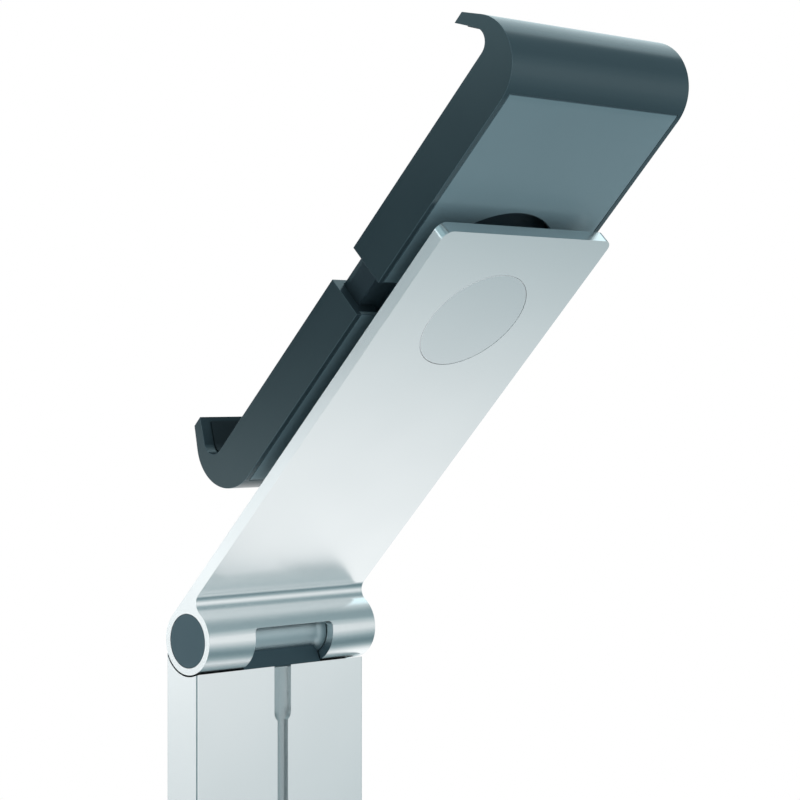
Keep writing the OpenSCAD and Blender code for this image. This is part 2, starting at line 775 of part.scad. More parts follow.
module hook_outline() {
    turn = [hook_y - hook_r * sin(hook_out_angle), hook_z + hook_r * cos(hook_out_angle)];
    run = (turn[0] - hook_tip_y) / cos(hook_out_angle);
    tip = turn - run * [cos(hook_out_angle), sin(hook_out_angle)];
    difference() {
        union() {
            translate([seat_y, 0]) square([jaw_d, hook_z]);
            translate([hook_y, hook_z]) circle(hook_r);
            polygon([[hook_y, hook_z], turn, tip, [hook_tip_y, hook_z]]);
        }
        hook_room(0);
        translate([hook_tip_y - far, 0]) square([far, jaw_l]);
    }
}

module liner_outline(grow) intersection() {
    hook_room(grow);
    translate([hook_tip_y + liner_tip_gap, jaw_l - liner_l]) square([far, liner_l]);
}

module back_cutout(r) rod_y(r, hollow_back - cut, jaw_back + cut);

module jaw() color(jaw_color) difference() {
    across(jaw_x) hook_outline();
    box([-hollow_x, hollow_front, -cut], [hollow_x, hollow_back, hollow_l]);
    back_cutout(cutout_r);
    box([-back_cover_x, back_cover_floor, -cut], [back_cover_x, jaw_back + cut, back_cover_l]);
    box(
        [tab_in_x - tab_gap, gear_front - tab_gap, hollow_l - cut],
        [tab_out_x + tab_gap, gear_back + tab_gap, tab_high_z + tab_gap]
    );
    at_rack_screws() rack_screw_hole();
    across(jaw_x - liner_inset) liner_outline(liner_sunk);
}

module back_cover() color(back_cover_color) difference() {
    intersection() {
        box(
            [back_cover_gap - back_cover_x, back_cover_floor, 0],
            [back_cover_x - back_cover_gap, jaw_back + cut, back_cover_l - back_cover_gap]
        );
        across(jaw_x) hook_outline();
    }
    back_cutout(cutout_r + back_cover_gap);
}

module liner() color(rubber_color) across(jaw_x - liner_inset - 0.1) difference() {
    liner_outline(liner_sunk - 0.05);
    hook_room(-liner_proud);
}

module at_lock_screw() translate([lock_x, 0, lock_z]) children();

module lock_hole() at_lock_screw() rod_y(large_screw_r + screw_fit, hollow_back - cut, jaw_back + cut);

module upper_jaw() in_upper_jaw() jaw();

module upper_back_cover() in_upper_jaw() back_cover();

module upper_liner() in_upper_jaw() liner();

module upper_rack() in_upper_jaw() rack();

module upper_rack_screws() in_upper_jaw() rack_screws();

module lower_jaw() in_lower_jaw() difference() {
    jaw();
    lock_hole();
}

module lower_back_cover() in_lower_jaw() difference() {
    back_cover();
    lock_hole();
}

module lower_liner() in_lower_jaw() liner();

module lower_rack() in_lower_jaw() rack();

module lower_rack_screws() in_lower_jaw() rack_screws();

module jaw_lock_screw() color(steel_color) in_lower_jaw() at_lock_screw() difference() {
    rod_y(large_screw_r, carrier_back + face_gap, back_cover_floor);
    rotate([-90, 0, 0]) translate([0, 0, back_cover_floor - socket_h])
        cylinder(r = large_screw_r / 2, h = far, $fn = 6);
}

base_plate();
base_feet();
column();
tie_rods();
tie_rod_washers();
tie_rod_nuts();
hinge_block();
hinge_shaft();
shaft_screws();
disc_springs();
hinge_nuts();
arm();
hinge_bushes();
friction_washers();
end_cap_left();
end_cap_right();
tilt_stop_screw();
arm_cover();
swivel_hub();
slip_ring();
swivel_retainer();
retainer_screws();
hub_screws();
carrier();
pinion_pin();
carrier_cover();
cover_screws();
pinion();
upper_jaw();
upper_back_cover();
upper_liner();
upper_rack();
upper_rack_screws();
lower_jaw();
lower_back_cover();
lower_liner();
lower_rack();
lower_rack_screws();
jaw_lock_screw();
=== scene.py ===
"""Looks of an adjustable tablet floor stand: its broken edges, finishes, studio light and camera."""

import json
import logging
import math
from dataclasses import dataclass, field
from enum import Enum

import bpy
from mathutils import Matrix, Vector

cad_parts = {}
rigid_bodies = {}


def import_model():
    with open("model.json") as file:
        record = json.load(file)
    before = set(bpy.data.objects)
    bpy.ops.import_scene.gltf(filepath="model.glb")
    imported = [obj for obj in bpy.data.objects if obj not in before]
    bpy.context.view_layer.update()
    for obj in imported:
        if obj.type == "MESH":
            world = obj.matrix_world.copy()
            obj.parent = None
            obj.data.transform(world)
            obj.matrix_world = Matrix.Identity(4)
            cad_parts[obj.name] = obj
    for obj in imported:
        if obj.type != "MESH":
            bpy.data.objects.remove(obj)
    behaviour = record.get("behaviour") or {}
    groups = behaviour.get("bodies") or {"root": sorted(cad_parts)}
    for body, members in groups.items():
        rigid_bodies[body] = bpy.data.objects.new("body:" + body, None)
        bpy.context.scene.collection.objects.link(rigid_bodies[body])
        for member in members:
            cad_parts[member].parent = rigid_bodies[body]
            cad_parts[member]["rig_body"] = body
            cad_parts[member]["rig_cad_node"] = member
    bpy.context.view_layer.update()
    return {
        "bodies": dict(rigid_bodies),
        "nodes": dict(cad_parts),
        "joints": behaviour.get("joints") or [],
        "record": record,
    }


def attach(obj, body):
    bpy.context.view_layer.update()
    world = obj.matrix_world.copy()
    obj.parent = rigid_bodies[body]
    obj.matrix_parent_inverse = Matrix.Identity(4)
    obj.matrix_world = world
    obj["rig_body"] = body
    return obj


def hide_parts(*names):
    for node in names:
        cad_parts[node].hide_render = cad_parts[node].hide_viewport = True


MM = 0.001
WHITE = (1.0, 1.0, 1.0, 1.0)

# An edge sharper than CREASE is broken and kept crisp, and faces that turn less than FLAT are one face.
CREASE = math.radians(34.0)
FLAT = math.radians(0.4)
WELD = 0.002 * MM

# The middle part of a noise pattern, which holds nearly all of its values.
PATTERN_SPAN = (0.15, 0.85)

# Patches of colour have this many finer layers, and this many smooth smudges go along one patch.
PATCH_DETAIL = 3
SMUDGES_PER_PATCH = 3

# Place of the broken edges' material on a piece; on most pieces it is lighter than the faces, a painted
# highlight.
EDGE_MATERIAL = 1

# Places of the sockets for colours on a Mix node, where several sockets have the same name.
MIX_FACTOR = 0
MIX_FIRST = 6
MIX_SECOND = 7
MIX_RESULT = 2

Point = tuple[float, float, float]
Color = tuple[float, float, float]
Span = tuple[float, float]
Curve = tuple[tuple[float, float], ...]
Socket = bpy.types.NodeSocket

log = logging.getLogger("stand")


class Grain(Enum):
    """Which way the fine lines of a finish run."""

    NONE = (1.0, 1.0, 1.0)
    ALONG_X = (0.02, 1.0, 1.0)
    ALONG_Z = (1.0, 1.0, 0.01)


class Side(Enum):
    """Which of the two jaws is meant, as its nodes are named."""

    UPPER = "upper"
    LOWER = "lower"


class Tree:
    """Adds nodes to the node tree of a material or of the world."""

    def __init__(self, tree: bpy.types.NodeTree) -> None:
        """Keeps the tree that the nodes go to."""
        self.tree = tree

    def node(self, kind: str, **settings: object) -> bpy.types.Node:
        """Adds a node and sets its own properties.

        Args:
            kind: Blender's name of the node type.
            settings: Properties to set on it.

        Returns:
            The new node.
        """
        made = self.tree.nodes.new(kind)
        for key, value in settings.items():
            setattr(made, key, value)
        return made

    def put(self, target: Socket, value: object) -> None:
        """Links an input to a socket, or sets the input's own value.

        Args:
            target: The input.
            value: A socket, a number, a vector or a colour.
        """
        if isinstance(value, Socket):
            self.tree.links.new(value, target)
        else:
            target.default_value = value

    def feed(self, node: bpy.types.Node, **inputs: object) -> bpy.types.Node:
        """Sets or links a node's inputs by their names.

        Args:
            node: The node to feed.
            inputs: Input names, with _ for a space, and what goes into each.

        Returns:
            The same node.
        """
        for key, value in inputs.items():
            self.put(node.inputs[key.replace("_", " ")], value)
        return node

    def feed_row(self, node: bpy.types.Node, *values: object) -> bpy.types.Node:
        """Sets or links a node's first inputs in their order.

        Args:
            node: The node to feed.
            values: What goes into each.

        Returns:
            The same node.
        """
        for target, value in zip(node.inputs, values):
            self.put(target, value)
        return node

    def calc(self, operation: str, *values: object) -> Socket:
        """Adds a Math node, with a number or a socket for each input, and returns its value."""
        return self.feed_row(self.node("ShaderNodeMath", operation=operation), *values).outputs[0]

    def step(self, value: Socket, start: object, stop: object, low: float, high: float) -> Socket:
        """Adds a soft step from one number to another.

        Args:
            value: What is read.
            start: Where the step begins, a number or a socket.
            stop: Where it ends, a number or a socket.
            low: The number before the step.
            high: The number after it.

        Returns:
            The stepped value.
        """
        made = self.node("ShaderNodeMapRange", interpolation_type="SMOOTHSTEP")
        self.feed(made, Value=value, From_Min=start, From_Max=stop, To_Min=low, To_Max=high)
        return made.outputs["Result"]

    def curve(self, value: Socket, stops: Curve) -> Socket:
        """Adds a smooth curve through a row of stops.

        Args:
            value: Where on the curve to read it.
            stops: Places, with the level at each.

        Returns:
            The level.
        """
        low, high = stops[0][0], stops[-1][0]
        share = self.feed(self.node("ShaderNodeMapRange"), Value=value, From_Min=low, From_Max=high)
        ramp = self.feed(self.node("ShaderNodeValToRGB"), Fac=share.outputs["Result"])
        ramp.color_ramp.interpolation = "EASE"
        marks = ramp.color_ramp.elements
        while len(marks) < len(stops):
            marks.new(0.5)
        for mark, (place, _) in zip(marks, stops):
            mark.position = (place - low) / (high - low)
        for mark, (_, level) in zip(marks, stops):
            mark.color = (level, level, level, 1)
        return ramp.outputs["Color"]

    def mix(self, factor: Socket, first: object, second: object) -> Socket:
        """Mixes two colours.

        Args:
            factor: 0 for the first colour and 1 for the second one.
            first: A colour with its alpha, or a socket.
            second: A colour with its alpha, or a socket.

        Returns:
            The mixed colour.
        """
        made = self.node("ShaderNodeMix", data_type="RGBA")
        for place, value in ((MIX_FACTOR, factor), (MIX_FIRST, first), (MIX_SECOND, second)):
            self.put(made.inputs[place], value)
        return made.outputs[MIX_RESULT]

    def parts(self, way: Socket) -> list[Socket]:
        """Adds the nodes that give the X, Y and Z part of a direction of any length."""
        unit = self.feed_row(self.node("ShaderNodeVectorMath", operation="NORMALIZE"), way)
        return list(self.feed_row(self.node("ShaderNodeSeparateXYZ"), unit.outputs["Vector"]).outputs)


class Graph(Tree):
    """The node tree of one material, with a Principled shader at its end."""

    def __init__(self, name: str) -> None:
        """Makes the material and keeps its shader at hand.

        Args:
            name: What the material is called.
        """
        self.material = bpy.data.materials.new(name)
        self.material.use_nodes = True
        super().__init__(self.material.node_tree)
        self.shader = self.tree.nodes["Principled BSDF"]
        self.place = self.node("ShaderNodeTexCoord").outputs["Object"]

    def noise(self, size: float, detail: float = 2.0, grain: Grain = Grain.NONE) -> Socket:
        """Adds a noise pattern.

        Args:
            size: Width of one patch, in metres.
            detail: Number of finer layers in it.
            grain: Which way its patches are drawn out.

        Returns:
            The pattern's value, from 0 to 1.
        """
        vector = self.place
        if grain is not Grain.NONE:
            mapping = self.feed(self.node("ShaderNodeMapping"), Vector=vector, Scale=grain.value)
            vector = mapping.outputs["Vector"]
        texture = self.feed(self.node("ShaderNodeTexNoise"), Vector=vector, Scale=1 / size, Detail=detail)
        return texture.outputs["Fac"]

    def spread(self, pattern: Socket, low: float, high: float) -> Socket:
        """Maps the middle of a pattern to a range of numbers, with the low one for its dark parts."""
        return self.step(pattern, *PATTERN_SPAN, low, high)

    def tint(self, pattern: Socket, dark: Color, light: Color) -> Socket:
        """Mixes two colours without alpha by a pattern."""
        return self.mix(pattern, (*dark, 1), (*light, 1))

    def bump(self, height: Socket, depth: float) -> Socket:
        """Turns a pattern into relief, with its depth in metres, and returns the bent normal."""
        relief = self.feed(self.node("ShaderNodeBump"), Height=height, Distance=depth, Strength=1.0)
        return relief.outputs["Normal"]

    def emission(self, color: object) -> Socket:
        """Adds a surface that only shows its own colour."""
        return self.feed(self.node("ShaderNodeEmission"), Color=color, Strength=1.0).outputs[0]

    def either(self, factor: Socket, first: Socket, second: Socket) -> Socket:
        """Mixes two shaders, 0 for the first and 1 for the second."""
        return self.feed_row(self.node("ShaderNodeMixShader"), factor, first, second).outputs[0]


def shaded(color: Color, amount: float) -> Color:
    """Returns a colour made lighter or darker by a share of itself."""
    return tuple(min(1.0, channel * (1 + amount)) for channel in color)


@dataclass(frozen=True)
class Finish:
    """A surface finish.

    Attributes:
        name: What it is called.
        color: Linear red, green and blue.
        roughness: How blurred its reflections are.
        metallic: 1 for bare metal.
        shine: Strength of the reflections on what isn't metal.
        cast: Colour of those reflections.
        drift: Share by which its colour varies.
        smudge: Amount by which its roughness varies.
        patch: Width of one patch of colour.
        grit: Width of one grain of its relief.
        depth: Depth of its relief.
        grain: Which way the relief is drawn out.
    """

    name: str
    color: Color
    roughness: float
    metallic: float = 0.0
    shine: float = 0.5
    cast: Color = (1.0, 1.0, 1.0)
    drift: float = 0.04
    smudge: float = 0.03
    patch: float = 60 * MM
    grit: float = 0.5 * MM
    depth: float = 0.008 * MM
    grain: Grain = Grain.NONE

    def material(self) -> bpy.types.Material:
        """Builds the finish's material, unless it is there already.

        Returns:
            The material.
        """
        title = f"{self.name}_finish"
        known = bpy.data.materials.get(title)
        if known:
            return known
        graph = Graph(title)
        patches = graph.noise(self.patch, detail=PATCH_DETAIL)
        grit = graph.noise(self.grit, grain=self.grain)
        smudges = graph.noise(self.patch / SMUDGES_PER_PATCH, detail=0)
        dark, light = shaded(self.color, -self.drift), shaded(self.color, self.drift)
        graph.feed(
            graph.shader,
            Base_Color=graph.tint(graph.spread(patches, 0, 1), dark, light),
            Metallic=self.metallic,
            Roughness=graph.spread(smudges, self.roughness - self.smudge, self.roughness + self.smudge),
            Specular_IOR_Level=self.shine,
            Specular_Tint=(*self.cast, 1),
            Normal=graph.bump(grit, self.depth),
        )
        return graph.material


@dataclass(frozen=True)
class Aluminium(Finish):
    """Smooth anodised aluminium."""

    metallic: float = 1.0
    drift: float = 0.008
    smudge: float = 0.008
    depth: float = 0.0012 * MM


@dataclass(frozen=True)
class HighlightedEdge(Finish):
    """What a finish looks like where a sharp edge is broken: a touch lighter and smoother, a painted
    highlight along the edge.
    """

    drift: float = 0.02
    depth: float = 0.002 * MM


# The cast of reflections on the slate-coloured plastics, and the tone of the arm and the column.
SLATE = (0.6, 0.92, 1.0)
SATIN = (0.82, 0.86, 0.87)

ANODISED = Aluminium("satin_anodised_aluminium", SATIN, 0.25)
COVER_METAL = Aluminium("anodised_cover", (0.73, 0.78, 0.795), 0.25)
EXTRUDED = Aluminium("extruded_anodised_aluminium", SATIN, 0.25, depth=0.002 * MM, grain=Grain.ALONG_Z)
# Lighter and less metallic than the anodised faces, so the broken edges show as white lines: a painted
# highlight.
METAL_EDGE_HIGHLIGHT = HighlightedEdge("anodised_edge_painted_highlight", (0.93, 0.95, 0.96), 0.3, metallic=0.2)
JAW_PLASTIC = Finish(
    "slate_jaw_plastic",
    (0.041, 0.067, 0.08),
    0.2,
    shine=0.6,
    cast=SLATE,
    smudge=0.01,
    depth=0.0012 * MM,
)
# About twice as light as the slate plastic, so the broken edges of the jaws and caps show as light lines:
# a painted highlight.
JAW_EDGE_HIGHLIGHT = HighlightedEdge("slate_plastic_edge_painted_highlight", (0.09, 0.14, 0.165), 0.22, shine=0.9, cast=SLATE)
COVER_PLASTIC = Finish(
    "grey_cover_plastic", (0.19, 0.28, 0.315), 0.32, shine=0.8, cast=SLATE, depth=0.004 * MM
)
# Lighter than the slate jaw plastic, so that the carrier, seen in the shaded recess behind the back
# covers, shows lighter: painted light filling that shade.
BLACK_PLASTIC_PAINTED_LIGHT = Finish("black_plastic", (0.06, 0.094, 0.113), 0.5, shine=0.1, cast=SLATE)
BLOCK_PLASTIC = Finish("dark_block_plastic", (0.036, 0.062, 0.077), 0.4, cast=SLATE)
CAP_PLASTIC = Finish("slate_cap_plastic", (0.14, 0.22, 0.26), 0.4, cast=SLATE)
GEAR_PLASTIC = Finish("natural_gear_plastic", (0.62, 0.62, 0.56), 0.4)
ZINC_STEEL = Finish("zinc_plated_steel", (0.6, 0.63, 0.65), 0.32, metallic=1.0)
TURNED_STEEL = Finish(
    "turned_shaft_steel", (0.58, 0.68, 0.71), 0.55, metallic=1.0, grit=0.3 * MM, grain=Grain.ALONG_X
)
BRASS = Finish("plain_brass", (0.62, 0.42, 0.16), 0.32, metallic=1.0)
POWDER_COAT = Finish("silver_powder_coat", (0.42, 0.47, 0.49), 0.45, grit=0.9 * MM, depth=0.02 * MM)
FOOT_RUBBER = Finish(
    "foot_rubber", (0.02, 0.021, 0.022), 0.75, shine=0.3, grit=0.8 * MM, depth=0.02 * MM
)
LINER_RUBBER = Finish("liner_rubber", (0.03, 0.046, 0.054), 0.7, shine=0.3, cast=SLATE)


def deselect() -> None:
    """Leaves nothing selected and nothing active, out of edit mode."""
    if bpy.context.object and bpy.context.object.mode != "OBJECT":
        bpy.ops.object.mode_set(mode="OBJECT")
    bpy.ops.object.select_all(action="DESELECT")
    bpy.context.view_layer.objects.active = None


def choose(piece: bpy.types.Object) -> None:
    """Makes one object the selected and active one.

    Args:
        piece: The object.
    """
    deselect()
    piece.select_set(True)
    bpy.context.view_layer.objects.active = piece


def add_modifier(piece: bpy.types.Object, kind: str, **settings: object) -> None:
    """Adds a modifier to a piece and applies it.

    Args:
        piece: The object to change.
        kind: Blender's name of the modifier.
        settings: The modifier's properties.
    """
    choose(piece)
    made = piece.modifiers.new(kind.title(), kind)
    for key, value in settings.items():
        setattr(made, key, value)
    bpy.ops.object.modifier_apply(modifier=made.name)


@dataclass
class SubAssembly:
    """Pieces of the stand that belong together.

    Attributes:
    """

    frame: dict

    def build(self) -> None:
        """Builds the pieces whose sharp edges are broken, each with its finish."""
        raise NotImplementedError

    def dress(self) -> None:
        """Dresses the pieces that keep the shape of their nodes, where there are any."""

    def ease(
        self, node: str, slot: str, finish: Finish, edge: Finish, width: float, steps: int = 2
    ) -> None:
        """Builds a dressed copy of a node with its sharp edges broken, which stands for the node.

        Args:
            node: The node's name.
            slot: Name of the material slot that the piece belongs to; not used.
            finish: What its faces look like.
            edge: What its broken edges look like, on most pieces lighter than the faces as a painted
                highlight.
            width: Width of a broken edge.
            steps: Number of faces across a broken edge.
        """
        body = self.frame["nodes"][node]["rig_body"]
        piece = self.copy(node)
        for look in (finish, edge):
            piece.data.materials.append(look.material())
        add_modifier(
            piece,
            "BEVEL",
            width=width,
            segments=steps,
            limit_method="ANGLE",
            angle_limit=CREASE,
            material=EDGE_MATERIAL,
            harden_normals=False,
            use_clamp_overlap=True,
            miter_outer="MITER_ARC",
        )
        choose(piece)
        bpy.ops.object.shade_smooth_by_angle(angle=CREASE)
        add_modifier(piece, "WEIGHTED_NORMAL", keep_sharp=True)
        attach(piece, body)
        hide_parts(node)
        log.info("eased the edges of %s: %d faces", node, len(piece.data.polygons))

    def copy(self, node: str) -> bpy.types.Object:
        """Copies a node's object as a closed mesh without needless edges and without materials.

        Args:
            node: The node's name.

        Returns:
            The copy, which belongs to no body yet.
        """
        choose(self.frame["nodes"][node])
        bpy.ops.object.duplicate(linked=False)
        piece = bpy.context.object
        piece.name = f"{node}_eased"
        piece.parent = None
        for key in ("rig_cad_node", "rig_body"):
            del piece[key]
        bpy.ops.mesh.customdata_custom_splitnormals_clear()
        bpy.ops.object.mode_set(mode="EDIT")
        bpy.ops.mesh.select_all(action="SELECT")
        bpy.ops.mesh.remove_doubles(threshold=WELD)
        bpy.ops.mesh.dissolve_limited(angle_limit=FLAT)
        bpy.ops.object.mode_set(mode="OBJECT")
        piece.data.materials.clear()
        return piece

    def coat(self, finish: Finish, *nodes: str) -> None:
        """Puts one finish on nodes that keep their own shape.

        Args:
            finish: The finish.
            nodes: The nodes' names.
        """
        for node in nodes:
            mesh = self.frame["nodes"][node].data
            mesh.materials.clear()
            mesh.materials.append(finish.material())
            log.info("dressed %s in %s", node, finish.name)


@dataclass
class Foot(SubAssembly):
    """The base plate with its feet, and the tie rods that come up through it.

    Attributes:
        plate_edge: Width of the plate's broken edges.
        plate_steps: Number of faces across them.
    """

    plate_edge: float = 0.8 * MM
    plate_steps: int = 3

    def build(self) -> None:
        """Breaks the edges of the base plate."""
        self.ease(
            "base_plate", "base_paint", POWDER_COAT, POWDER_COAT, self.plate_edge, self.plate_steps
        )

    def dress(self) -> None:
        """Dresses the feet and the tie rods."""
        self.coat(FOOT_RUBBER, "base_feet")
        self.coat(ZINC_STEEL, "tie_rods", "tie_rod_washers", "tie_rod_nuts")


@dataclass
class Post(SubAssembly):
    """The column.

    Attributes:
        edge: Width of its broken edges.
        steps: Number of faces across them.
    """

    edge: float = 0.6 * MM
    steps: int = 3

    def build(self) -> None:
        """Breaks the edges of the column."""
        self.ease("column", "aluminium", EXTRUDED, METAL_EDGE_HIGHLIGHT, self.edge, self.steps)


@dataclass
class TiltHinge(SubAssembly):
    """The hinge at the top of the column.

    Attributes:
        block_edge: Width of the hinge block's broken edges.
        cap_edge: Width of the end caps' broken edges.
    """

    block_edge: float = 0.2 * MM
    cap_edge: float = 0.3 * MM

    def build(self) -> None:
        """Breaks the edges of the hinge block and of both end caps."""
        self.ease("hinge_block", "black_plastic", BLOCK_PLASTIC, BLOCK_PLASTIC, self.block_edge)
        for cap in ("end_cap_left", "end_cap_right"):
            self.ease(cap, "jaw_plastic", CAP_PLASTIC, JAW_EDGE_HIGHLIGHT, self.cap_edge)

    def dress(self) -> None:
        """Dresses the shaft and what holds and brakes it."""
        self.coat(TURNED_STEEL, "hinge_shaft")
        self.coat(ZINC_STEEL, "shaft_screws", "disc_springs", "hinge_nuts", "tilt_stop_screw")
        self.coat(BRASS, "hinge_bushes", "friction_washers")


@dataclass
class SwingArm(SubAssembly):
    """The arm with the cover over its pivot.

    Attributes:
        arm_edge: Width of the arm's broken edges.
        arm_steps: Number of faces across them.
        cover_edge: Width of the cover's broken edges.
    """

    arm_edge: float = 0.4 * MM
    arm_steps: int = 3
    cover_edge: float = 0.25 * MM

    def build(self) -> None:
        """Breaks the edges of the arm and of its cover."""
        self.ease("arm", "aluminium", ANODISED, METAL_EDGE_HIGHLIGHT, self.arm_edge, self.arm_steps)
        self.ease("arm_cover", "aluminium", COVER_METAL, METAL_EDGE_HIGHLIGHT, self.cover_edge)


@dataclass
class Swivel(SubAssembly):
    """The swivel between the arm and the clamp.

    Attributes:
        hub_edge: Width of the hub's broken edges.
    """

    hub_edge: float = 0.3 * MM

    def build(self) -> None:
        """Breaks the edges of the hub."""
        self.ease("swivel_hub", "black_plastic", BLOCK_PLASTIC, BLOCK_PLASTIC, self.hub_edge)

    def dress(self) -> None:
        """Dresses the ring that the hub slides on, and what holds the hub."""
        self.coat(GEAR_PLASTIC, "slip_ring")
        self.coat(ZINC_STEEL, "swivel_retainer", "retainer_screws", "hub_screws")


@dataclass
class Clamp(SubAssembly):
    """The carrier that the jaws slide on, with its cover and pinion.

    Attributes:
        carrier_edge: Width of the carrier's broken edges.
        cover_edge: Width of the cover's broken edges.
    """

    carrier_edge: float = 0.3 * MM
    cover_edge: float = 0.3 * MM

    def build(self) -> None:
        """Breaks the edges of the carrier and of its cover."""
        # The carrier and its cover get finishes lighter than black plastic: painted light in the shaded
        # recess where they are seen.
        self.ease("carrier", "black_plastic", BLACK_PLASTIC_PAINTED_LIGHT, BLACK_PLASTIC_PAINTED_LIGHT, self.carrier_edge)
        self.ease("carrier_cover", "black_plastic", BLOCK_PLASTIC, BLOCK_PLASTIC, self.cover_edge)

    def dress(self) -> None:
        """Dresses the pinion, its pin and the screws."""
        self.coat(GEAR_PLASTIC, "pinion")
        self.coat(ZINC_STEEL, "pinion_pin", "cover_screws", "jaw_lock_screw")


@dataclass
class Jaw(SubAssembly):
    """One jaw with its cover, liner and rack.

    Attributes:
        side: Which of the two jaws it is.
        jaw_edge: Width of the jaw's broken edges.
        jaw_steps: Number of faces across them.
        cover_edge: Width of the cover's broken edges.
    """

    side: Side
    jaw_edge: float = 0.5 * MM
    jaw_steps: int = 3
    cover_edge: float = 0.3 * MM

    def build(self) -> None:
        """Breaks the edges of the jaw and of its back cover."""
        name = self.side.value
        self.ease(f"{name}_jaw", "jaw_plastic", JAW_PLASTIC, JAW_EDGE_HIGHLIGHT, self.jaw_edge, self.jaw_steps)
        self.ease(
            f"{name}_back_cover", "back_cover_plastic", COVER_PLASTIC, JAW_EDGE_HIGHLIGHT, self.cover_edge
        )

    def dress(self) -> None:
        """Dresses the liner, the rack and its screws."""
        name = self.side.value
        self.coat(LINER_RUBBER, f"{name}_liner")
        self.coat(GEAR_PLASTIC, f"{name}_rack")
        self.coat(ZINC_STEEL, f"{name}_rack_screws")


@dataclass
class Softbox:
    """A square lamp that lights without being seen or mirrored.

    Attributes:
        name: What the lamp is called.
        place: Where it hangs.
        size: Width of its face.
        radiance: Brightness of its face.
        aim: What it points at.
    """

    name: str
    place: Point
    size: float
    radiance: float
    aim: Point = (0.0, 0.05, 1.05)

    def build(self) -> None:
        """Adds the lamp, with the power that gives its face its radiance."""
        bpy.ops.object.light_add(type="AREA", location=self.place)
        lamp = bpy.context.object
        lamp.name = self.name
        lamp.data.size = self.size
        lamp.data.energy = self.radiance * math.pi * self.size**2
        way = Vector(self.place) - Vector(self.aim)
        lamp.rotation_euler = way.to_track_quat("Z", "Y").to_euler()
        lamp.visible_camera = False
        lamp.visible_glossy = False
        log.info("lamp %s", self.name)


